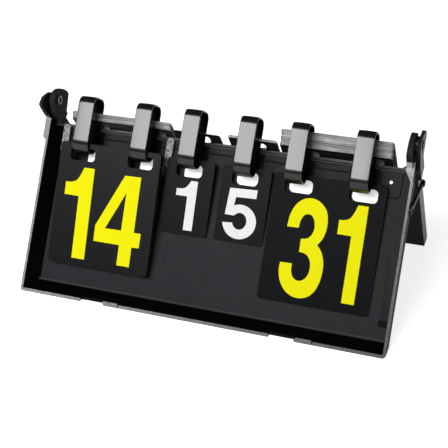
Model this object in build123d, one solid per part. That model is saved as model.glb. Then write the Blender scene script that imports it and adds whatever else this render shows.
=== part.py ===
"""Tabletop flip scoreboard: two tray shells on a pivot line, six rings, four card decks.

Shell frame (x, n, v): v runs up the shell from its foot line, n runs back from its rim
plane. The front shell leans back by LEAN about the pivot line, and the rear shell is the
same moulding turned half a turn about Z. Z = 0 is the table.
"""
from math import atan2, cos, degrees, radians, tan
import os

from build123d import *

os.makedirs("parts", exist_ok=True)

# ---- shells ----
WIDTH = 380.0            # along x
DEPTH = 15.0             # rim plane to back
WALL = 2.5
LEAN = 33.8              # each shell from the vertical
PANEL_TOP = 174.7        # foot line to the panel's upper edge, up the shell
PIVOT_RISE = 25.3        # panel's upper edge to pivot line
PANEL_FOOT = 14.9        # where the panel meets the sloped floor of the tray
FLOOR_EDGE = 3.4         # rim thickness at the foot
BEVEL_X = 12.0           # width of the sloped inner side of the left wall
CORNER_R = 3.0
GROOVE_DROP, GROOVE_H, GROOVE_D = 8.5, 1.8, 0.7
LABEL_W, LABEL_V, LABEL_H, LABEL_D = 88.0, 44.2, 30.8, 0.3
STOP_IN, STOP_V, STOP_W, STOP_H, STOP_D = 8.5, 30.7, 9.6, 6.3, 1.2

HALF = WIDTH / 2
PIVOT_V = PANEL_TOP + PIVOT_RISE
PANEL_N = DEPTH - WALL

# ---- foot rim: notches and the clips that enter the other shell's notches ----
NOTCH_L_IN, NOTCH_R_IN, NOTCH_W = 68.4, 86.8, 25.7      # from the side walls, width
NOTCH_L = (NOTCH_L_IN - HALF, NOTCH_L_IN + NOTCH_W - HALF)
NOTCH_R = (HALF - NOTCH_R_IN - NOTCH_W, HALF - NOTCH_R_IN)
NOTCH_H, NOTCH_D, NOTCH_SLOPE = 5.0, 3.2, 4.0
CLIP_L_IN, CLIP_R_IN, CLIP_W = 94.4, 70.2, 15.4
CLIP_L = (CLIP_L_IN - HALF, CLIP_L_IN + CLIP_W - HALF)
CLIP_R = (HALF - CLIP_R_IN - CLIP_W, HALF - CLIP_R_IN)
CLIP_OUT, CLIP_IN, CLIP_V = 2.2, 1.2, (0.9, 4.5)

# ---- corner outline with its hole ----
TAB_X0, TAB_X1, TAB_STEP_X = HALF - 31.0, HALF - 12.0, HALF - 23.5
TAB_V0, TAB_V1, TAB_V2 = PANEL_TOP - 25.7, PANEL_TOP - 14.7, PANEL_TOP - 2.7
TAB_R, TAB_LINE, TAB_LINE_D = 5.0, 1.2, 0.9
HOLE_X, HOLE_V, HOLE_R = HALF - 21.9, PANEL_TOP - 11.5, 1.6

# ---- ears and pins ----
EAR_T = 3.5              # outboard ear
EAR_STEP = 3.4           # outboard ear's step beyond the side wall
EAR_RUN = 3.0            # height over which it steps out
EAR_STEP_V = PANEL_TOP - 15.7
EAR_ROOT_V = PANEL_TOP - 8.7
INNER_EAR_X = HALF - 8.0  # inner face of the inboard ear
INNER_EAR_T = 5.2
# ear outlines as (n, v from the pivot line); both end on the side wall below
OUTBOARD_EAR = ((0, -19.6), (-15.5, -12.4), (-20.2, -9.4), (-16.7, -1), (-5.4, 6), (4, 7.5), (10, 2))
INBOARD_EAR = ((-0.8, -22.4), (-9.2, -17.6), (-17, -13), (-16, -6), (-13.4, 0.5), (-9, 6.2),
               (-4.5, 9.5), (0.5, 11), (6, 9.8), (10, 5.5), (13, -1), (14.8, -9))
EAR_CORNER_R, EAR_SHOULDER = 1.8, 20.0
# solid corner under the inboard ear, its levels below the pivot line
CORNER_HIGH, CORNER_HIGH_X = 17.0, INNER_EAR_X + INNER_EAR_T
CORNER_LOW, CORNER_LOW_X = 20.4, HALF - 0.5
STEP_TOP = 19.5          # top of the outboard ear's thick root, below the pivot line
BACK_GAP = 0.4           # corners to the plane midway between the shells
SADDLE_N, SADDLE_FIT = 6.0, 0.4
PIN_R, PIN_FIT = 2.5, 0.05
PIN_COLLAR_R, PIN_HEAD_R, PIN_HEAD_T, PIN_END_GAP = 8.0, 4.5, 1.3, 0.1
DIMPLE_R, DIMPLE_D = 2.9, 0.7

# ---- cards ----
CARD_T = 0.42
SMALL_W, SMALL_H = 50.0, 75.0
SMALL_SPACE = 3.9        # small card to the middle
SMALL_X = SMALL_W / 2 + SMALL_SPACE
CARD_SPACE, SIDE_SPACE = 3.1, 20.5   # small to big card, big card to side wall
BIG_W = HALF - WALL - SIDE_SPACE - SMALL_X - SMALL_W / 2 - CARD_SPACE
BIG_X = HALF - WALL - SIDE_SPACE - BIG_W / 2
CARD_R = 3.5
CARD_DROP, CARD_FOOT = 16.5, 34.2
CARD_TOP = PANEL_TOP - CARD_DROP
BIG_H = CARD_TOP - CARD_FOOT
SLOT_W, SLOT_H, SLOT_R, SLOT_MARGIN = 27.5, 13.2, 4.5, 4.6
SLOT_SHIFT_BIG, SLOT_SHIFT_SMALL = 2.6, -0.1     # slot to the middle of its ring
CARD_GAP = 0.12
PILE_GAP = 0.1           # lowest flipped card to the rear panel

# ---- rings ----
RING_OUT, RING_IN = 23.5, 23.2       # big card's outer and inner edges to its rings
RING_SHIFT = -1.0        # rings off the middle of their cards
RING_X = [x + RING_SHIFT for x in (
    -BIG_X - BIG_W / 2 + RING_OUT, -BIG_X + BIG_W / 2 - RING_IN, -SMALL_X,
    SMALL_X, BIG_X - BIG_W / 2 + RING_IN, BIG_X + BIG_W / 2 - RING_OUT)]
RING_W, RING_T = 17.0, 1.9
RING_DROP, RING_RISE, RING_TOP_R = 26.7, 6.8, 8.5
RING_FOOT_V, RING_TOP_V = PANEL_TOP - RING_DROP, PIVOT_V + RING_RISE
SEAT_D = 0.7             # recess in the panel behind each ring
SEAT_W, SEAT_DROP = 29.2, 22.2
SEAT_V = PANEL_TOP - SEAT_DROP
RING_GAP = 0.1           # ring to the other shell's seat when the case is shut

# name, centre x, big, cards left, front face n at the foot and at the top
DECKS = (
    ("home_points", -BIG_X, True, 17, 5.0, -8.0),
    ("home_sets", -SMALL_X, False, 6, 9.6, 3.2),
    ("guest_sets", SMALL_X, False, 2, 11.2, 5.6),
    ("guest_points", BIG_X, True, 0, 11.7, 7.3),
)
# name, flipped cards, top edges of the lowest and topmost card below the pivot line
PILES = (
    ("home_points", 14, 11.1, 6.0),
    ("home_sets", 1, 9.6, 9.4),
    ("guest_sets", 5, 9.6, 7.8),
    ("guest_points", 31, 10.6, 2.0),
)

# ---- stay: y, and z below the pivot line ----
STAY_PIVOT_AT = (34.0, 58.2)     # on the rear shell's side wall
STAY_CATCH_AT = (-29.5, 53.2)    # on the front shell's side wall
STAY_T, STAY_W, STAY_END_R = 2.0, 4.2, 4.2
STAY_GAP = 0.6           # stay to the side walls
STAY_PIN_R, STAY_HEAD_R, STAY_HEAD_T = 1.6, 3.0, 1.0
CATCH_R, CATCH_H, CATCH_FIT = 2.2, 0.45, 0.3

# ---- upright posts beside the first and third rings ----
POST_OUT, POST_MID = 27.3, 26.3      # from its ring's middle
POST_X = (RING_X[0] - POST_OUT, RING_X[2] - POST_MID)
POST_W, POST_RISE, POST_D, POST_R = 7.2, 2.3, 4.0, 3.0

SEAT_N = PANEL_N + SEAT_D
FOOT_SLOPE = tan(radians(LEAN))
PIVOT_Z = PIVOT_V * cos(radians(LEAN))
RING_FRONT_N = -(SEAT_N - RING_GAP)
RING_R = (SEAT_N - RING_FRONT_N) / 2
RING_MID_N = (SEAT_N + RING_FRONT_N) / 2
RING_ARC_V = RING_FOOT_V + RING_R
FRONT = Pos(0, 0, PIVOT_Z) * Rot(-LEAN, 0, 0) * Pos(0, 0, -PIVOT_V)
REAR = Rot(0, 0, 180) * FRONT
STAY_PIVOT = (STAY_PIVOT_AT[0], PIVOT_Z - STAY_PIVOT_AT[1])
STAY_CATCH = (STAY_CATCH_AT[0], PIVOT_Z - STAY_CATCH_AT[1])
FAR = 2 * PIVOT_V        # cuts reach well past the shell


def block(x, n, v):
    """Box between the limits given as (low, high) pairs."""
    size = (x[1] - x[0], n[1] - n[0], v[1] - v[0])
    mid = ((x[0] + x[1]) / 2, (n[0] + n[1]) / 2, (v[0] + v[1]) / 2)
    return Pos(*mid) * Box(*size)


def side_prism(sketch, x0, x1):
    """Extrude a sketch drawn in (n, v) from x0 to x1."""
    return Pos(x0, 0, 0) * extrude(Plane.YZ * sketch, amount=x1 - x0)


def face_prism(sketch, n0, n1):
    """Extrude a sketch drawn in (x, v) from n0 to n1."""
    return Pos(0, n0, 0) * extrude(Plane.XZ * sketch, amount=n0 - n1)


def polygon(points):
    return make_face(Polyline(*points, close=True))


def rod(radius, x0, x1, n=0.0, v=0.0):
    return Pos((x0 + x1) / 2, n, v) * Rot(0, 90, 0) * Cylinder(radius, x1 - x0)


def tray_block():
    """Outer block with the foot cut level with the table when it leans."""
    outline = [(-HALF, 0), (HALF, 0), (HALF, EAR_ROOT_V - 1), (CORNER_LOW_X, EAR_ROOT_V - 0.5),
               (CORNER_LOW_X, PANEL_TOP), (-HALF, PANEL_TOP)]
    body = face_prism(polygon(outline), 0, DEPTH)
    foot = body.edges().filter_by(Axis.Y).group_by(Axis.Z)[0]
    body = fillet(foot, CORNER_R)
    far = DEPTH + 1
    wedge = [(-1, -FOOT_SLOPE), (far, far * FOOT_SLOPE), (far, -9), (-1, -9)]
    return body - side_prism(polygon(wedge), -HALF - 1, HALF + 1)


def pocket():
    """Tray hollow: sloped at the foot and on the left, cut off at the upper right."""
    left, right = WALL - HALF, HALF - WALL
    plan = [(left, -1), (right, -1), (right, PANEL_N), (left + BEVEL_X, PANEL_N), (left, 2)]
    hollow = extrude(polygon(plan), amount=PANEL_TOP + 1)
    side = [(-1, FLOOR_EDGE - 0.3), (1, FLOOR_EDGE), (PANEL_N, PANEL_FOOT),
            (PANEL_N, PANEL_TOP + 2), (-1, PANEL_TOP + 2)]
    hollow = hollow & side_prism(polygon(side), left - 1, right + 1)
    corner = [(right, EAR_ROOT_V - 1.2), (INNER_EAR_X - 0.2, PANEL_TOP), (INNER_EAR_X - 0.2, FAR),
              (HALF + 1, FAR), (HALF + 1, EAR_ROOT_V - 1.2)]
    return hollow - face_prism(polygon(corner), -2, DEPTH)


def ring_seats():
    return [block((x - SEAT_W / 2, x + SEAT_W / 2), (PANEL_N - 1, SEAT_N),
                  (SEAT_V, PANEL_TOP + 1)) for x in RING_X]


def rail_grooves():
    """Shallow grooves across the panel between the ring seats."""
    edges = [-HALF + WALL + BEVEL_X + 2]
    for x in RING_X:
        edges += [x - SEAT_W / 2 - 1.0, x + SEAT_W / 2 + 1.0]
    spans = [edges[i:i + 2] for i in range(0, len(edges) - 1, 2)]
    v = (PANEL_TOP - GROOVE_DROP, PANEL_TOP - GROOVE_DROP + GROOVE_H)
    return [block(span, (PANEL_N - 1, PANEL_N + GROOVE_D), v) for span in spans]


def tab_outline(grow):
    """Corner outline, grown by grow on its right and lower sides."""
    x0, x1 = TAB_X0 - grow, TAB_X1 + grow
    v0, v1 = TAB_V0 - grow, TAB_V1 - grow
    step = TAB_STEP_X - grow
    shape = polygon([(x0, v1), (step, v1), (step, v0), (x1, v0), (x1, TAB_V2), (x0, TAB_V2)])
    corner = [p for p in shape.vertices() if abs(p.X - x1) < 0.01 and abs(p.Y - v0) < 0.01]
    return fillet(corner, TAB_R + grow)


def tab_line():
    outer, inner = tab_outline(TAB_LINE), tab_outline(0)
    return face_prism(outer - inner, PANEL_N - 1, PANEL_N + TAB_LINE_D)


def rim_notch(x0, x1):
    shape = [(x0, -4), (x0, NOTCH_H), (x1 - NOTCH_SLOPE, NOTCH_H), (x1, 0.5), (x1, -4)]
    return face_prism(polygon(shape), -3, NOTCH_D)


def ear_face(outline, root_v):
    """Ear outline in (n, v), closed down both sides of the wall to root_v."""
    points = [(n, PIVOT_V + rise) for n, rise in outline]
    shoulder = PIVOT_V - EAR_SHOULDER
    shape = polygon([(0, root_v)] + points + [(DEPTH, shoulder), (DEPTH, root_v)])
    rounded = [p for p in shape.vertices() if p.Y > shoulder + 0.5]
    return fillet(rounded, EAR_CORNER_R)


def raised(drop, x0, x1):
    """Wall carried up to drop below the pivot line, its back clear of the other shell's."""
    def back(below):
        return below * FOOT_SLOPE - BACK_GAP
    turn = (DEPTH + BACK_GAP) / FOOT_SLOPE
    foot = PANEL_TOP - 0.5
    shape = [(0, foot), (0, PIVOT_V - drop), (back(drop), PIVOT_V - drop),
             (DEPTH, PIVOT_V - turn), (DEPTH, foot)]
    return side_prism(polygon(shape), x0, x1)


def outboard_ear():
    """Beaked head stepped out beyond the left wall, so the other shell passes inside it."""
    x0 = -HALF - EAR_STEP
    low, high = EAR_STEP_V - EAR_RUN / 2, EAR_STEP_V + EAR_RUN / 2
    step = polygon([(-HALF, low), (x0, high), (x0, PANEL_TOP), (WALL - HALF, PANEL_TOP),
                    (WALL - HALF, low)])
    head = side_prism(ear_face(OUTBOARD_EAR, EAR_ROOT_V), x0, x0 + EAR_T)
    return head + face_prism(step, 0, DEPTH) + raised(STEP_TOP, x0, WALL - HALF)


def inboard_ear():
    """Ear on a solid corner, with a saddle under the pin's collar."""
    ear = side_prism(ear_face(INBOARD_EAR, PANEL_TOP - 0.5), INNER_EAR_X, INNER_EAR_X + INNER_EAR_T)
    saddle = block((INNER_EAR_X + 1, CORNER_LOW_X), (0, SADDLE_N),
                   (PIVOT_V - CORNER_LOW, PIVOT_V - PIN_COLLAR_R + 2))
    saddle -= rod(PIN_COLLAR_R + SADDLE_FIT, INNER_EAR_X + INNER_EAR_T, HALF, 0, PIVOT_V)
    return (ear + raised(CORNER_HIGH, INNER_EAR_X, CORNER_HIGH_X)
            + raised(CORNER_LOW, INNER_EAR_X, CORNER_LOW_X) + saddle)


def shell():
    body = tray_block() - pocket()
    body -= ring_seats()
    body -= rail_grooves()
    body -= tab_line()
    body -= Pos(HOLE_X, DEPTH, HOLE_V) * Rot(90, 0, 0) * Cylinder(HOLE_R, 3 * DEPTH)
    body -= block((-LABEL_W / 2, LABEL_W / 2), (PANEL_N - 1, PANEL_N + LABEL_D),
                  (LABEL_V, LABEL_V + LABEL_H))
    stop = Pos(HALF - STOP_IN, STOP_V) * RectangleRounded(STOP_W, STOP_H, 1.6)
    body -= face_prism(stop, PANEL_N - 1, PANEL_N + STOP_D)
    body -= [rim_notch(*NOTCH_L), rim_notch(*NOTCH_R)]
    body += [block(x, (-CLIP_OUT, CLIP_IN), CLIP_V) for x in (CLIP_L, CLIP_R)]
    body += outboard_ear()
    body += inboard_ear()
    return body - rod(PIN_R + PIN_FIT, -HALF - EAR_STEP - 1, HALF + 1, 0, PIVOT_V)


def hinge_pin(side):
    """Shouldered pin through both ears at one side."""
    head_out = HALF + EAR_STEP + PIN_END_GAP
    head_in = INNER_EAR_X - PIN_END_GAP
    pin = rod(PIN_R, head_in - PIN_HEAD_T, head_out + PIN_HEAD_T)
    pin += rod(PIN_HEAD_R, head_out, head_out + PIN_HEAD_T)
    pin += rod(PIN_HEAD_R, head_in - PIN_HEAD_T, head_in)
    pin += rod(PIN_COLLAR_R, INNER_EAR_X + INNER_EAR_T + PIN_END_GAP,
               HALF + EAR_STEP - EAR_T - PIN_END_GAP)
    for end, inward in ((head_in - PIN_HEAD_T, 1), (head_out + PIN_HEAD_T, -1)):
        pin -= rod(DIMPLE_R, *sorted((end - inward, end + inward * DIMPLE_D)))
    pin = Pos(0, 0, PIVOT_V) * pin
    return pin if side > 0 else mirror(pin, Plane.YZ)


def ring(x):
    """Flat band bent into a closed loop, lying on its seat."""
    def loop(grow):
        low = Pos(RING_MID_N, RING_ARC_V) * Circle(RING_R + grow)
        top = RING_TOP_V + grow
        height = top - RING_ARC_V
        upright = Pos(RING_MID_N, RING_ARC_V + height / 2) * Rectangle(2 * (RING_R + grow), height)
        shape = low + upright
        corners = shape.vertices().group_by(Axis.Y)[-1]
        return fillet(corners, RING_TOP_R + grow)
    return side_prism(loop(0) - loop(-RING_T), x - RING_W / 2, x + RING_W / 2)


def card_face(x, big, side=1):
    """Card outline with a slot at each of its rings, its top edge at v = 0; side -1 mirrors x."""
    width, height = (BIG_W, BIG_H) if big else (SMALL_W, SMALL_H)
    shift = SLOT_SHIFT_BIG if big else SLOT_SHIFT_SMALL
    face = Pos(side * x, -height / 2) * RectangleRounded(width, height, CARD_R)
    for ring_x in RING_X:
        if abs(ring_x - x) < width / 2:
            slot = RectangleRounded(SLOT_W, SLOT_H, SLOT_R)
            face -= Pos(side * (ring_x + shift), -SLOT_MARGIN - SLOT_H / 2) * slot
    return face


def hung(x, big, n_foot, n_top, start, thick):
    """Cards leaning in the tray, start to start + thick behind the shown face."""
    height = BIG_H if big else SMALL_H
    tilt = degrees(atan2(n_foot - n_top, height))
    cards = face_prism(card_face(x, big), start, start + thick)
    return Pos(0, n_top, CARD_TOP) * Rot(tilt, 0, 0) * cards


def pile(x, big, count, low_drop, high_drop):
    """Flipped cards lying on the rear tray, each a little higher than the one below."""
    low_n = PANEL_N - PILE_GAP
    low_top, high_top = PIVOT_V - low_drop, PIVOT_V - high_drop
    sketch = Plane.XZ * card_face(x, big, -1)
    thick = count * CARD_T
    direction = Vector(0, -thick, high_top - low_top)
    cards = extrude(sketch, amount=direction.length, dir=direction.normalized())
    return Pos(0, low_n, low_top) * cards


def stay():
    """Thin strap between the side walls, pivoted at the rear and hooked over a catch."""
    x0 = HALF + STAY_GAP
    run = (Vector(*STAY_CATCH) - Vector(*STAY_PIVOT))
    mid = Vector(*STAY_PIVOT) + run / 2
    angle = degrees(atan2(run.Y, run.X))
    strap = Pos(mid.X, mid.Y) * Rot(0, 0, angle) * Rectangle(run.length, STAY_W)
    strap += [Pos(*end) * Circle(STAY_END_R) for end in (STAY_PIVOT, STAY_CATCH)]
    strap -= Pos(*STAY_PIVOT) * Circle(STAY_PIN_R + PIN_FIT)
    strap -= Pos(*STAY_CATCH) * Circle(CATCH_R + CATCH_FIT)
    return side_prism(strap, x0, x0 + STAY_T)


def stay_pin():
    wall_in, wall_out = HALF - WALL, HALF + STAY_GAP + STAY_T
    pin = rod(STAY_PIN_R, wall_in, wall_out + 0.1 + STAY_HEAD_T)
    pin += rod(STAY_HEAD_R, wall_out + 0.1, wall_out + 0.1 + STAY_HEAD_T)
    return Pos(0, *STAY_PIVOT) * pin


def post(x):
    """Upright with a rounded top, standing on the panel."""
    low, high = RING_FOOT_V, PANEL_TOP + POST_RISE
    shape = Pos(x, (low + high) / 2) * RectangleRounded(POST_W, high - low, POST_R)
    return face_prism(shape, PANEL_N - POST_D, PANEL_N)


def build():
    parts = {}
    moulding = shell()
    catch = Pos(HALF, *STAY_CATCH) * Rot(0, 90, 0) * Cylinder(
        CATCH_R, CATCH_H, align=(Align.CENTER, Align.CENTER, Align.MIN))
    parts["front_shell"] = FRONT * moulding + catch
    parts["rear_shell"] = REAR * moulding - Pos(0, *STAY_PIVOT) * rod(
        STAY_PIN_R, HALF - WALL - 1, HALF + 1)
    parts["left_hinge_pin"] = FRONT * hinge_pin(-1)
    parts["right_hinge_pin"] = FRONT * hinge_pin(1)
    for i, x in enumerate(RING_X):
        parts[f"ring_{i + 1}"] = FRONT * ring(x)
    for name, x, big, left, n_foot, n_top in DECKS:
        parts[f"{name}_shown_card"] = FRONT * hung(x, big, n_foot, n_top, 0, CARD_T)
        if left > 1:
            start = CARD_T + CARD_GAP
            parts[f"{name}_cards_left"] = FRONT * hung(
                x, big, n_foot, n_top, start, (left - 1) * CARD_T)
    for (name, count, low, high), deck in zip(PILES, DECKS):
        parts[f"{name}_flipped_cards"] = REAR * pile(deck[1], deck[2], count, low, high)
    parts["stay"] = stay()
    parts["stay_pin"] = stay_pin()
    parts["left_post"] = FRONT * post(POST_X[0])
    parts["centre_post"] = FRONT * post(POST_X[1])
    return parts


for part_name, part_shape in build().items():
    part_shape.label = part_name
    export_step(part_shape, f"parts/{part_name}.step")
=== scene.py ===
"""Looks of the tabletop flip scoreboard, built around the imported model."""
import math
import random

import bmesh
import bpy
from mathutils import Matrix, Vector
from mathutils.geometry import tessellate_polygon


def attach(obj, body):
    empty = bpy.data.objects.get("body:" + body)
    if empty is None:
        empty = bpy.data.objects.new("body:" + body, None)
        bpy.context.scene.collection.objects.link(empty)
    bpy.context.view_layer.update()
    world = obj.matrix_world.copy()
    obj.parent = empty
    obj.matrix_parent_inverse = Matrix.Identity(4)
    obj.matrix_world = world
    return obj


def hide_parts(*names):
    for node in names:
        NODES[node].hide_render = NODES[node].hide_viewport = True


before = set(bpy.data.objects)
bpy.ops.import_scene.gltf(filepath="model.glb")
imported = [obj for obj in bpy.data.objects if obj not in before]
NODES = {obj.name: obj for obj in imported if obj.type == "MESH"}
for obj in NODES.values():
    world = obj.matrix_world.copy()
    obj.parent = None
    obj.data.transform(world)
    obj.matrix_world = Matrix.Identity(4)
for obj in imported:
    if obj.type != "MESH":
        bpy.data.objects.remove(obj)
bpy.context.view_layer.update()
random.seed(7)

# Sizes are in millimetres in the shell frame: x, n back from the rim plane, v up the shell.
MM = 0.001
PIVOT_V, PANEL_N = 200.0, 12.5
LEAN = math.radians(33.8)
PIVOT_Z = PIVOT_V * math.cos(LEAN)
CARD_TOP, CARD_T, CARD_R = 158.2, 0.42, 3.5
CARD_GAP = 0.12          # shown card to the deck behind it
PILE_GAP = 0.1           # lowest flipped card to the rear panel
CARD_SIZE = {True: (110.0, 124.0), False: (50.0, 75.0)}
SLOT_W, SLOT_H, SLOT_R, SLOT_MARGIN = 27.5, 13.2, 4.5, 4.6
SLOT_SHIFT = {True: 2.6, False: -0.1}
PRINT_T = 0.06           # thickness of the printed figures
RING_X = (-144.5, -81.2, -29.9, 27.9, 79.2, 142.5)
FRONT = (Matrix.Translation((0, 0, PIVOT_Z * MM)) @ Matrix.Rotation(-LEAN, 4, "X")
         @ Matrix.Translation((0, 0, -PIVOT_V * MM)))
REAR = Matrix.Rotation(math.pi, 4, "Z") @ FRONT

# name, centre x, big, cards left with the shown one, front face n at the foot and the top
DECKS = (
    ("home_points", -112.0, True, 17, 5.0, -8.0),
    ("home_sets", -28.9, False, 6, 9.6, 3.2),
    ("guest_sets", 28.9, False, 2, 11.2, 5.6),
    ("guest_points", 112.0, True, 0, 11.7, 7.3),
)
# name, flipped cards, top edges v of the lowest and the topmost card
PILES = (
    ("home_points", 14, 188.9, 194.0),
    ("home_sets", 1, 190.4, 190.6),
    ("guest_sets", 5, 190.4, 192.2),
    ("guest_points", 31, 189.4, 198.0),
)


# ---- materials ----
def new_material(name):
    mat = bpy.data.materials.new(name)
    mat.use_nodes = True
    tree = mat.node_tree
    return mat, tree, tree.nodes["Principled BSDF"]


def add(tree, kind, **values):
    node = tree.nodes.new(kind)
    for key, value in values.items():
        if key in node.inputs:
            node.inputs[key].default_value = value
        else:
            setattr(node, key, value)
    return node


def noise(tree, scale, detail=3.0, rough=0.55, stretch=(1, 1, 1)):
    """Noise in the piece's own coordinates, in metres."""
    coord = add(tree, "ShaderNodeTexCoord")
    mapping = add(tree, "ShaderNodeMapping")
    mapping.inputs["Scale"].default_value = stretch
    tex = add(tree, "ShaderNodeTexNoise", Scale=scale, Detail=detail, Roughness=rough)
    tree.links.new(coord.outputs["Object"], mapping.inputs["Vector"])
    tree.links.new(mapping.outputs["Vector"], tex.inputs["Vector"])
    return tex


def ramp(tree, source, stops):
    node = add(tree, "ShaderNodeValToRGB")
    elements = node.color_ramp.elements
    while len(elements) < len(stops):
        elements.new(0.5)
    for element, (at, colour) in zip(elements, stops):
        element.position = at
        element.color = (*colour, 1) if len(colour) == 3 else colour
    tree.links.new(source, node.inputs["Fac"])
    return node


def map_range(tree, source, from_min, from_max, to_min=0.0, to_max=1.0):
    node = add(tree, "ShaderNodeMapRange")
    limits = {"From Min": from_min, "From Max": from_max, "To Min": to_min, "To Max": to_max}
    for key, value in limits.items():
        node.inputs[key].default_value = value
    tree.links.new(source, node.inputs["Value"])
    return node.outputs["Result"]


def spread(tree, source, low, high):
    """The middle of a noise stretched over low to high."""
    return map_range(tree, source, 0.3, 0.7, low, high)


def math_node(tree, operation, a, b):
    node = add(tree, "ShaderNodeMath", operation=operation)
    for k, value in enumerate((a, b)):
        if isinstance(value, (int, float)):
            node.inputs[k].default_value = value
        else:
            tree.links.new(value, node.inputs[k])
    return node.outputs["Value"]


def window(tree, value, low, high, soft):
    """1 where value lies between low and high, in millimetres, fading over soft."""
    rise = map_range(tree, value, (low - soft) * MM, low * MM)
    fall = map_range(tree, value, (high + soft) * MM, high * MM)
    return math_node(tree, "MULTIPLY", rise, fall)


def paint_over(tree, colour, mask, paint):
    """The colour with paint laid over it where mask is 1."""
    mix = add(tree, "ShaderNodeMix", data_type="RGBA")
    tree.links.new(mask, mix.inputs["Factor"])
    tree.links.new(colour, mix.inputs["A"])
    mix.inputs["B"].default_value = (*paint, 1)
    return mix.outputs["Result"]


def plastic(name, dark, light, rough, cloud=18.0, grain=2600.0, bump=0.12, spec=0.3, coat=0.0,
            stretch=(1, 1, 1)):
    """Moulded plastic: cloudy colour, uneven gloss and a fine grain."""
    mat, tree, bsdf = new_material(name)
    clouds = noise(tree, cloud, 4.0, stretch=stretch)
    colour = ramp(tree, clouds.outputs["Fac"], [(0.3, dark), (0.7, light)])
    tree.links.new(colour.outputs["Color"], bsdf.inputs["Base Color"])
    smears = noise(tree, cloud * 7, 5.0, 0.65, stretch)
    gloss = spread(tree, smears.outputs["Fac"], *rough)
    tree.links.new(gloss, bsdf.inputs["Roughness"])
    fine = noise(tree, grain, 2.0)
    height = add(tree, "ShaderNodeBump", Strength=bump, Distance=0.00008)
    tree.links.new(fine.outputs["Fac"], height.inputs["Height"])
    tree.links.new(height.outputs["Normal"], bsdf.inputs["Normal"])
    bsdf.inputs["Specular IOR Level"].default_value = spec
    bsdf.inputs["Coat Weight"].default_value = coat
    bsdf.inputs["Coat Roughness"].default_value = 0.12
    return mat


def pin_material():
    """Black pin with a pale eyelet ring round its end."""
    mat = plastic("pin_black", (0.006, 0.006, 0.007), (0.012, 0.012, 0.013), (0.25, 0.4))
    tree = mat.node_tree
    bsdf = tree.nodes["Principled BSDF"]
    base = bsdf.inputs["Base Color"].links[0].from_socket
    coord = add(tree, "ShaderNodeTexCoord")
    centre = add(tree, "ShaderNodeMapping")
    centre.inputs["Location"].default_value = (0, 0, -PIVOT_Z * MM)
    centre.inputs["Scale"].default_value = (0, 1, 1)
    length = add(tree, "ShaderNodeVectorMath", operation="LENGTH")
    tree.links.new(coord.outputs["Object"], centre.inputs["Vector"])
    tree.links.new(centre.outputs["Vector"], length.inputs[0])
    radius = map_range(tree, length.outputs["Value"], 0.0, 5 * MM)
    eyelet = ramp(tree, radius, [(0.57, (0, 0, 0)), (0.60, (1, 1, 1)), (0.87, (1, 1, 1)),
                                 (0.90, (0, 0, 0))])
    painted = paint_over(tree, base, eyelet.outputs["Color"], (0.9, 0.9, 0.9))
    tree.links.new(painted, bsdf.inputs["Base Color"])
    return mat


def shell_coords(tree, side):
    """Distance from the middle, n and v of a shell's surface, and its x; side -1 is the rear."""
    coord = add(tree, "ShaderNodeTexCoord")
    split = add(tree, "ShaderNodeSeparateXYZ")
    tree.links.new(coord.outputs["Object"], split.inputs["Vector"])
    across = math_node(tree, "ABSOLUTE", split.outputs["X"], 0.0)
    along = []
    for axis in ((0, side * math.cos(LEAN), -math.sin(LEAN)),
                 (0, side * math.sin(LEAN), math.cos(LEAN))):
        dot = add(tree, "ShaderNodeVectorMath", operation="DOT_PRODUCT")
        tree.links.new(coord.outputs["Object"], dot.inputs[0])
        dot.inputs[1].default_value = axis
        along.append(math_node(tree, "SUBTRACT", dot.outputs["Value"], axis[2] * PIVOT_Z * MM))
    return across, along[0], along[1], split.outputs["X"]


def rim_painted_highlight(tree, patchy, x, v):
    """Strength of the painted highlight on the rim: more at the left, and at the right more towards
    the top.
    """
    most = 0.66
    leftward = map_range(tree, x, -0.19, 0.19, most, 0.0)
    rightward = math_node(tree, "SUBTRACT", 1.0, math_node(tree, "DIVIDE", leftward, most))
    height = map_range(tree, v, -200 * MM, -17 * MM)
    levels = ((0.03, 0.22), (0.27, 0.29), (0.55, 0.37), (0.765, 0.55), (0.9, 0.8), (1.0, 1.0))
    upward = ramp(tree, height, [(at, (level,) * 3) for at, level in levels])
    rightward = math_node(tree, "MULTIPLY", rightward, upward.outputs["Color"])
    return math_node(tree, "MULTIPLY", patchy, math_node(tree, "ADD", leftward, rightward))


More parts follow.
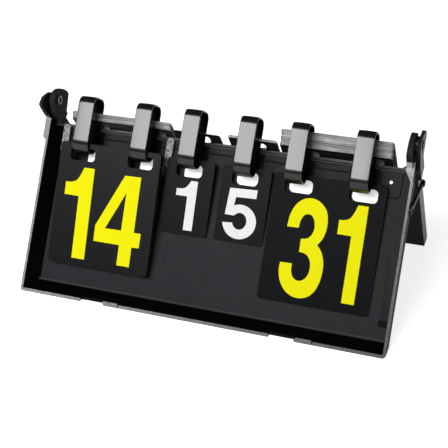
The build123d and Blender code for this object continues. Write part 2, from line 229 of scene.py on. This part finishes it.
def shell_material(name, side):
    """Satin tray plastic, with painted highlights on the rim, the panel's top edge, the fold and
    under the inboard ear, pale paint on the rear shell's outer side, and painted shade on the inner
    walls and in the grooves.
    """
    mat = plastic(name, (0.0212, 0.0223, 0.0255), (0.0248, 0.0260, 0.0295), (0.42, 0.50), 14.0,
                  2600.0, 0.12, 0.06)
    tree = mat.node_tree
    bsdf = tree.nodes["Principled BSDF"]
    colour = bsdf.inputs["Base Color"].links[0].from_socket
    across, n, v, x = shell_coords(tree, side)
    # random patchiness for the painted highlights on the rim and the panel's top edge, and for the
    # pale paint on the rear shell's side
    patchy = spread(tree, noise(tree, 300.0, 4.0).outputs["Fac"], 0.6, 1.0)
    inner = window(tree, across, -9, 185, 1.0)
    within = window(tree, across, -9, 187.45, 0.05)
    sunk = math_node(tree, "MULTIPLY", within, window(tree, n, 0.4, 12.1, 0.2))
    shade = math_node(tree, "MULTIPLY", sunk, window(tree, v, -300, -25.4, 0.1))
    # window in n or x, window in v or x, mask, paint; v is counted down from the pivot line
    marks = [
        # inner side walls: painted shade, near black
        ((n, 0.4, 12.1, 0.2), (v, -300, -25.4, 0.1), shade, (0.001, 0.001, 0.0012)),
        # rim
        # rim: painted highlight, strongest at the left
        ((n, -3, 0.15, 0.1), (v, -300, -17, 0.3), rim_painted_highlight(tree, patchy, x, v), (0.60, 0.60, 0.605)),
        # grooves of the panel: painted shade, near black
        ((n, 12.95, 13.9, 0.1), (v, -190, -25.8, 0.3), inner, (0.0012, 0.0012, 0.0014)),
        # top edge of the panel: painted highlight, patchy
        ((n, 12.0, 15.5, 0.1), (v, -25.7, -24.6, 0.2), patchy, (0.16, 0.16, 0.165)),
        # fold between the panel and the sloped floor: painted highlight
        ((n, 11.3, 12.55, 0.3), (v, -185.8, -184.3, 0.5), inner, (0.05, 0.05, 0.053)),
    ]
    if side < 0:
        below_step = window(tree, v, -300, -42, 0.3)
        pale = (0.60, 0.60, 0.605)
        # outer face of the ear, and of the side wall below it
        marks += [((n, -30, 15.2, 0.1), (across, 193.3, 300, 0.05), patchy, pale),
                  ((n, -30, 15.2, 0.1), (across, 189.9, 190.3, 0.05), below_step, pale)]
    else:
        # corner under the inboard ear: painted highlight
        corner = window(tree, across, 181.9, 187.3, 0.05)
        marks.append(((n, -8, 0.15, 0.1), (v, -26, -18, 0.2), corner, (0.55, 0.55, 0.555)))
    for first, second, third, paint in marks:
        mask = math_node(tree, "MULTIPLY", window(tree, *first), window(tree, *second))
        colour = paint_over(tree, colour, math_node(tree, "MULTIPLY", mask, third), paint)
    tree.links.new(colour, bsdf.inputs["Base Color"])
    return mat


FRONT_SHELL = shell_material("front_shell_satin", 1)
REAR_SHELL = shell_material("rear_shell_satin", -1)
RING = plastic("ring_gloss", (0.006, 0.006, 0.006), (0.008, 0.008, 0.008), (0.24, 0.27), 60.0,
               1400.0, 0.03, 0.5, 0.33, (1, 1, 0.12))
# inside of the rings: a darker, duller copy of the ring plastic, painted shade
RING_INSIDE_SHADED = plastic("ring_inside_shaded", (0.003, 0.003, 0.003), (0.005, 0.005, 0.005), (0.6, 0.7),
                      60.0, 1400.0, 0.06, 0.06)
# specular level per deck, falling from left to right: painted sheen on copies of one card plastic
CARD_PAINTED_SHEEN = {"home_points": 0.15, "home_sets": 0.08, "guest_sets": 0.07, "guest_points": 0.035}
CARDS = {name: plastic(f"{name}_card_black", (0.0035, 0.004, 0.005), (0.005, 0.0056, 0.0068),
                       (0.34, 0.42), 22.0, 3200.0, 0.08, sheen)
         for name, sheen in CARD_PAINTED_SHEEN.items()}
EDGE = plastic("card_edge", (0.36, 0.36, 0.37), (0.90, 0.90, 0.91), (0.5, 0.7), 260.0, 2400.0,
               0.2, 0.3, 0.0, (0.15, 1, 1))
# the decks' card edges: a near-black copy of the pale card edge, painted shade
EDGE_SHADED = plastic("card_edge_shaded", (0.012, 0.012, 0.013), (0.05, 0.05, 0.052), (0.5, 0.7),
                    260.0, 2400.0, 0.2, 0.15, 0.0, (0.15, 1, 1))
POST = plastic("post_grey", (0.04, 0.04, 0.04), (0.48, 0.48, 0.48), (0.35, 0.6), 420.0, 1600.0,
               0.5)
STAY = plastic("stay_black", (0.004, 0.004, 0.0045), (0.007, 0.007, 0.0075), (0.3, 0.42), 40.0)
PIN = pin_material()
YELLOW = plastic("number_yellow", (0.965, 0.91, 0.0025), (0.985, 0.94, 0.0035), (0.55, 0.65),
                 30.0, 3000.0, 0.06, 0.05)
WHITE = plastic("number_white", (0.92, 0.93, 0.95), (0.95, 0.955, 0.97), (0.55, 0.65), 30.0,
                3000.0, 0.06, 0.05)
GLOW_PAD = plastic("pad_glowing_painted_light", (0.88, 0.88, 0.88), (0.94, 0.94, 0.94), (0.5, 0.7), 40.0)
PAD_BSDF = GLOW_PAD.node_tree.nodes["Principled BSDF"]
# the pads glow without being lamps: painted light
PAD_BSDF.inputs["Emission Color"].default_value = (1, 1, 1, 1)
PAD_BSDF.inputs["Emission Strength"].default_value = 0.45



# ---- mesh helpers ----
def mesh_object(name, verts, faces, materials, place=None, smooth=False):
    mesh = bpy.data.meshes.new(name)
    mesh.from_pydata([Vector(v) * MM for v in verts], [], faces)
    bm = bmesh.new()
    bm.from_mesh(mesh)
    bmesh.ops.recalc_face_normals(bm, faces=bm.faces)
    bm.to_mesh(mesh)
    bm.free()
    for mat in materials:
        mesh.materials.append(mat)
    if place is not None:
        mesh.transform(place)
    for poly in mesh.polygons:
        poly.use_smooth = smooth
    obj = bpy.data.objects.new(name, mesh)
    bpy.context.scene.collection.objects.link(obj)
    return obj


def rounded(cx, cz, w, h, r, steps=6):
    """Rounded rectangle, anticlockwise in x and z."""
    points = []
    for sx, sz, start in ((1, -1, -90), (1, 1, 0), (-1, 1, 90), (-1, -1, 180)):
        ox, oz = cx + sx * (w / 2 - r), cz + sz * (h / 2 - r)
        for k in range(steps + 1):
            a = math.radians(start + 90 * k / steps)
            points.append((ox + r * math.cos(a), oz + r * math.sin(a)))
    return points


def slab(loops, y0, y1, shift=(0.0, 0.0, 0.0)):
    """Verts and faces of a flat plate with the given outline and holes, y0 to y1."""
    flat = [p for loop in loops for p in loop]
    count = len(flat)
    tris = tessellate_polygon([[Vector((x, z, 0)) for x, z in loop] for loop in loops])
    verts = [(x + shift[0], y + shift[1], z + shift[2]) for y in (y0, y1) for x, z in flat]
    faces = [tuple(t) for t in tris] + [tuple(i + count for i in reversed(t)) for t in tris]
    caps = len(faces)
    start = 0
    for loop in loops:
        for k in range(len(loop)):
            a, b = start + k, start + (k + 1) % len(loop)
            faces.append((a, b, b + count, a + count))
        start += len(loop)
    return verts, faces, caps


def card_loops(x, big, side=1):
    """Card outline and slots; side -1 mirrors x for the other shell."""
    width, height = CARD_SIZE[big]
    loops = [rounded(side * x, -height / 2, width, height, CARD_R)]
    for ring_x in RING_X:
        if abs(ring_x - x) < width / 2:
            centre = side * (ring_x + SLOT_SHIFT[big])
            slot = rounded(centre, -SLOT_MARGIN - SLOT_H / 2, SLOT_W, SLOT_H, SLOT_R)
            loops.append(slot[::-1])
    return loops


def cards(name, deck, plates, place, replaced, body, rim=None):
    """One object of separate card plates, each (loops, y0, y1, shift)."""
    verts, faces, edge = [], [], []
    for plate in plates:
        v, f, caps = slab(*plate)
        base = len(verts)
        verts += v
        faces += [tuple(i + base for i in face) for face in f]
        edge += [0] * caps + [1] * (len(f) - caps)
    obj = mesh_object(name, verts, faces, [CARDS[deck], rim or EDGE_SHADED], place)
    for poly, index in zip(obj.data.polygons, edge):
        poly.material_index = index
    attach(obj, body)
    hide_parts(replaced)
    return obj


def hung_matrix(big, n_foot, n_top):
    """Place of a hung card: its top edge at n_top and its foot at n_foot."""
    tilt = Matrix.Rotation(math.atan2(n_foot - n_top, CARD_SIZE[big][1]), 4, "X")
    return FRONT @ Matrix.Translation((0, n_top * MM, CARD_TOP * MM)) @ tilt


# ---- cards ----
for name, x, big, left, n_foot, n_top in DECKS:
    loops = card_loops(x, big)
    place = hung_matrix(big, n_foot, n_top)
    cards(f"{name}_card_face", name, [(loops, 0.0, CARD_T)], place, f"{name}_shown_card",
          f"{name}_card")
    plates = []
    for k in range(left - 1):
        y0 = CARD_T + CARD_GAP + k * CARD_T
        shift = (random.uniform(-0.35, 0.35), 0.0, random.uniform(-0.35, 0.1))
        plates.append((loops, y0 + 0.02, y0 + CARD_T - 0.03, shift))
    if plates:
        cards(f"{name}_deck", name, plates, place, f"{name}_cards_left", "front")

for (name, count, low, high), deck in zip(PILES, DECKS):
    x, big = deck[1], deck[2]
    loops = card_loops(x, big, -1)
    plates = []
    for k in range(count):
        top = low + (high - low) * (k + 0.5) / count + random.uniform(-0.35, 0.25)
        y1 = PANEL_N - PILE_GAP - k * CARD_T
        plates.append((loops, y1 - CARD_T + 0.05, y1, (random.uniform(-0.5, 0.5), 0.0, top)))
    cards(f"{name}_flipped_pile", name, plates, REAR, f"{name}_flipped_cards", "rear", EDGE)


# ---- numbers ----
def smooth_run(points, steps=6):
    """Catmull-Rom curve through the points."""
    if len(points) < 3:
        return list(points)
    ext = [points[0]] + list(points) + [points[-1]]
    out = []
    for a, b, c, d in zip(ext, ext[1:], ext[2:], ext[3:]):
        for k in range(steps):
            t = k / steps
            out.append(tuple(0.5 * (2 * q + (r - p) * t + (2 * p - 5 * q + 4 * r - s) * t * t
                                    + (3 * q - p - 3 * r + s) * t ** 3)
                             for p, q, r, s in zip(a, b, c, d)))
    return out + [points[-1]]


def arc(cx, cz, rx, rz, start, end, steps=26):
    """Points of an ellipse between two angles, in degrees."""
    return [(cx + rx * math.cos(math.radians(start + (end - start) * k / steps)),
             cz + rz * math.sin(math.radians(start + (end - start) * k / steps)))
            for k in range(steps + 1)]


def one(left, right, top, foot, tip, tip_top, tip_foot):
    """Figure one: a stem with a curved flag on its left."""
    w = left - tip
    flag = smooth_run([(left + 0.17 * w, top), (left, top - 0.42 * (top - tip_top)),
                       (left - 0.25 * w, tip_top + 0.18 * (top - tip_top)),
                       (left - 0.6 * w, tip_top + 0.03 * (top - tip_top)), (tip, tip_top)])
    return [flag + [(tip, tip_foot), (left, tip_foot), (left, foot), (right, foot), (right, top)]]


FOUR = [[(19.3, -26.2), (36.7, -25.9), (36.0, -81.6), (43.7, -81.6), (43.2, -96.3), (35.4, -96.5),
         (35.2, -116.7), (21.5, -116.8), (21.6, -96.2), (-6.9, -96.2), (-6.8, -80.2)],
        [(22.9, -43.4), (4.2, -81.6), (22.0, -81.4)]]
FIVE = [arc(-1.0, -54.0, 17.2, 17.0, 188, 476) + [(-7.5, -30.3), (13.2, -29.5), (13.2, -21.0),
        (-14.8, -22.0), (-16.7, -48.4), (-7.4, -48.5)] + arc(-1.0, -53.4, 7.3, 8.3, 138, -164)]
THREE = [smooth_run([(-35.5, -50.9), (-34.6, -40.6), (-31.4, -31.4), (-26.4, -24.9), (-19.8, -21.4),
                     (-12.0, -21.2), (-4.5, -24.9), (0.7, -31.2), (3.0, -39.5), (3.0, -49.0),
                     (0.6, -58.0), (-3.6, -64.3)])
         + smooth_run([(-3.6, -64.3), (1.2, -70.0), (4.5, -78.5), (5.3, -88.5), (3.9, -99.5),
                       (0.0, -109.0), (-6.2, -115.0), (-13.8, -117.2), (-21.8, -116.2),
                       (-29.4, -111.3), (-34.9, -103.0), (-37.3, -93.8), (-37.1, -85.7)])
         + smooth_run([(-25.3, -85.3), (-25.1, -92.0), (-22.8, -97.9), (-18.3, -100.8),
                       (-13.4, -100.0), (-9.2, -95.7), (-7.3, -88.6), (-8.1, -81.4),
                       (-11.2, -76.1), (-15.3, -73.9), (-20.2, -73.3)])
         + smooth_run([(-20.2, -60.6), (-14.9, -59.7), (-11.0, -56.4), (-8.8, -50.0),
                       (-9.5, -43.0), (-12.4, -37.9), (-16.4, -36.3), (-20.3, -38.0),
                       (-23.0, -42.8), (-24.1, -50.5)])]
FIGURES = {
    "home_points": ((one(-29.0, -14.7, -24.1, -116.9, -45.0, -40.5, -53.5), FOUR), YELLOW),
    "home_sets": ((one(0.5, 9.8, -21.2, -70.6, -11.6, -30.2, -36.9),), WHITE),
    "guest_sets": ((FIVE,), WHITE),
    "guest_points": ((THREE, one(27.5, 39.8, -21.1, -114.8, 13.8, -37.2, -50.9)), YELLOW),
}


def unique(loop):
    """The loop without points that repeat the one before."""
    out = []
    for p in loop:
        if not out or math.dist(p, out[-1]) > 0.02:
            out.append(p)
    return out[:-1] if math.dist(out[0], out[-1]) < 0.02 else out


for name, x, big, left, n_foot, n_top in DECKS:
    figures, paint = FIGURES[name]
    for k, figure in enumerate(figures):
        loops = [unique([(px + x, pz) for px, pz in loop]) for loop in figure]
        verts, faces, _ = slab(loops, -PRINT_T, 0.0)
        digit = mesh_object(f"{name}_number_{k + 1}", verts, faces, [paint],
                            hung_matrix(big, n_foot, n_top))
        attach(digit, f"{name}_card")


# ---- rings ----
RING_MID, RING_R = 0.05, 13.15       # n of the loop's middle, radius of its lower bend
RING_ARC, RING_TOP, RING_TOP_R = 161.15, 206.8, 8.5
RING_W, RING_T = 17.0, 1.9
RING_ROUND, RING_CROWN = 0.45, 0.28  # edge radius, and how far the crown stands out


def ring_path():
    """(n, v, outward n, outward v) round the outer face of the loop."""
    def bend(n, v, radius, start, end, steps):
        points = []
        for k in range(steps + 1):
            a = math.radians(start + (end - start) * k / steps)
            out_n, out_v = math.cos(a), math.sin(a)
            points.append((n + radius * out_n, v + radius * out_v, out_n, out_v))
        return points

    top_v = RING_TOP - RING_TOP_R
    reach = RING_R - RING_TOP_R
    back = [(RING_MID + RING_R, RING_ARC + (top_v - RING_ARC) * t, 1, 0) for t in (0.25, 0.5, 0.75)]
    front = [(RING_MID - RING_R, v, -1, 0) for _, v, _, _ in reversed(back)]
    return (bend(RING_MID, RING_ARC, RING_R, 180, 360, 48) + back
            + bend(RING_MID + reach, top_v, RING_TOP_R, 0, 90, 16)
            + bend(RING_MID - reach, top_v, RING_TOP_R, 90, 180, 16) + front)


def ring_section():
    """(x, depth) round the band: crowned outside, rounded edges."""
    half, r, crown = RING_W / 2, RING_ROUND, RING_CROWN
    top = [(x * (half - r), -crown * abs(x) ** 2.2)
           for x in (-1, -0.8, -0.55, -0.28, 0, 0.28, 0.55, 0.8, 1)]
    right = [(half - r + r * math.sin(a), -crown - r + r * math.cos(a))
             for a in (0.5, 1.0, math.pi / 2)]
    right += [(half, -RING_T + r), (half - 0.15, -RING_T + 0.12), (half - r, -RING_T)]
    left = [(-x, d) for x, d in reversed(right)]
    return top + right + left


def ring(index, x):
    """One flat-band ring, glossy outside, and inside a darker, duller copy of the ring plastic as
    painted shade.
    """
    path, section = ring_path(), ring_section()
    verts = [(x + sx, n + d * nn, v + d * nv) for n, v, nn, nv in path for sx, d in section]
    p, s = len(path), len(section)
    faces = [(i * s + j, i * s + (j + 1) % s,
              ((i + 1) % p) * s + (j + 1) % s, ((i + 1) % p) * s + j)
             for i in range(p) for j in range(s)]
    obj = mesh_object(f"ring_band_{index}", verts, faces, [RING, RING_INSIDE_SHADED], FRONT, True)
    inside = [d < 0.2 - RING_T for sx, d in section]
    for k, poly in enumerate(obj.data.polygons):
        poly.material_index = int(inside[k % s] and inside[(k + 1) % s])
    obj.modifiers.new("normals", "WEIGHTED_NORMAL")
    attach(obj, "front")
    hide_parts(f"ring_{index}")


for k, ring_x in enumerate(RING_X):
    ring(k + 1, ring_x)


# ---- glowing pale pads in the card slots and the corner hole: painted light in place of the brightness seen through them ----
PAD_SPAN = ((0.0, 16.4), (-4.7, 15.6), (-7.5, 13.4), (-10.0, 11.4), (-7.7, 17.0), (-9.0, 17.2))
PAD_FOOT = (145.9, 145.9, 146.2, 147.4, 147.6, 147.6)
PAD_RISE, PAD_R, PAD_T = 161.0, 5.0, 0.15
HOLE_X, HOLE_V, HOLE_PAD_W = 168.1, 163.2, 3.1


def glowing_pad(name, shape, n_front, n_back):
    verts, faces, _ = slab([shape], n_front, n_back)
    pad = mesh_object(name, verts, faces, [GLOW_PAD], FRONT)
    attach(pad, "front")


for k, (ring_x, (low, high), foot) in enumerate(zip(RING_X, PAD_SPAN, PAD_FOOT)):
    shape = rounded(ring_x + (low + high) / 2, foot, high - low, PAD_RISE - foot, PAD_R)
    glowing_pad(f"slot_pad_{k + 1}", shape, PANEL_N - PAD_T, PANEL_N)
shape = rounded(HOLE_X, HOLE_V, HOLE_PAD_W, HOLE_PAD_W, 1.54)
glowing_pad("corner_hole_pad", shape, PANEL_N + 0.2, PANEL_N + 0.5)


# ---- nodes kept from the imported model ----
def finish_node(node, mat, width=0.0):
    """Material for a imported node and, with a width, softened edges."""
    obj = NODES[node]
    obj.data.materials.clear()
    obj.data.materials.append(mat)
    if width:
        weld = obj.modifiers.new("weld", "WELD")
        weld.merge_threshold = 0.00001
        bevel = obj.modifiers.new("bevel", "BEVEL")
        bevel.width = width
        bevel.segments = 2
        bevel.limit_method = "ANGLE"
        bevel.angle_limit = math.radians(40)
        bevel.harden_normals = True


finish_node("front_shell", FRONT_SHELL, 0.4 * MM)
finish_node("rear_shell", REAR_SHELL, 0.4 * MM)
for node in ("left_hinge_pin", "right_hinge_pin"):
    finish_node(node, PIN)
for node in ("stay", "stay_pin"):
    finish_node(node, STAY)
for node in ("left_post", "centre_post"):
    finish_node(node, POST)


# ---- floor, light and camera ----
floor_mat, floor_tree, floor_bsdf = new_material("floor_pale")
floor_noise = noise(floor_tree, 3.0)
floor_colour = ramp(floor_tree, floor_noise.outputs["Fac"],
                    [(0.3, (0.90, 0.90, 0.90)), (0.7, (0.92, 0.92, 0.92))])
floor_tree.links.new(floor_colour.outputs["Color"], floor_bsdf.inputs["Base Color"])
floor_bsdf.inputs["Roughness"].default_value = 0.9
floor_bsdf.inputs["Specular IOR Level"].default_value = 0.1
floor_bsdf.inputs["Emission Color"].default_value = (1, 1, 1, 1)
path = add(floor_tree, "ShaderNodeLightPath")
seen = math_node(floor_tree, "MULTIPLY", path.outputs["Is Camera Ray"], 0.82)
mirrored = math_node(floor_tree, "MULTIPLY", path.outputs["Is Glossy Ray"], 0.3)
glow = math_node(floor_tree, "ADD", seen, mirrored)
floor_tree.links.new(glow, floor_bsdf.inputs["Emission Strength"])
floor_mesh = bpy.data.meshes.new("floor")
floor_mesh.from_pydata([(-6, -6, 0), (6, -6, 0), (6, 6, 0), (-6, 6, 0)], [], [(0, 1, 2, 3)])
floor_mesh.materials.append(floor_mat)
floor = bpy.data.objects.new("floor", floor_mesh)
bpy.context.scene.collection.objects.link(floor)


def softbox(name, direction, distance, size, power, target=(0, -0.03, 0.12)):
    """Rectangular lamp that faces the target from the given direction."""
    light = bpy.data.lights.new(name, "AREA")
    light.shape = "RECTANGLE"
    light.size, light.size_y = size
    light.energy = power
    obj = bpy.data.objects.new(name, light)
    obj.location = Vector(target) + Vector(direction).normalized() * distance
    obj.rotation_euler = (Vector(target) - obj.location).to_track_quat("-Z", "Y").to_euler()
    bpy.context.scene.collection.objects.link(obj)


softbox("key", (-0.29, -0.728, 0.64), 2.2, (1.65, 0.8), 43.0)
softbox("fill_right", (0.95, 0.1, 0.3), 2.5, (1.0, 1.0), 1.5)

world = bpy.data.worlds.new("studio")
world.use_nodes = True
world.node_tree.nodes["Background"].inputs["Color"].default_value = (1, 1, 1, 1)
world.node_tree.nodes["Background"].inputs["Strength"].default_value = 0.05
bpy.context.scene.world = world
bpy.context.scene.view_settings.view_transform = "Standard"

YAW, PITCH, ROLL = math.radians(20.62), math.radians(30.84), math.radians(-1.97)
forward = Vector((-math.sin(YAW) * math.cos(PITCH), math.cos(YAW) * math.cos(PITCH),
                  -math.sin(PITCH)))
right = Vector((math.cos(YAW), math.sin(YAW), 0))
up = right.cross(forward)
axis_x = math.cos(ROLL) * right + math.sin(ROLL) * up
axis_y = -math.sin(ROLL) * right + math.cos(ROLL) * up
camera_data = bpy.data.cameras.new("camera")
camera_data.lens = 81.95
camera_data.sensor_width = 36
camera = bpy.data.objects.new("camera", camera_data)
turn = Matrix((axis_x, axis_y, -forward)).transposed().to_4x4()
camera.matrix_world = Matrix.Translation((0.3158, -0.8524, 0.5912)) @ turn
bpy.context.scene.collection.objects.link(camera)
bpy.context.scene.camera = camera

bpy.context.view_layer.update()
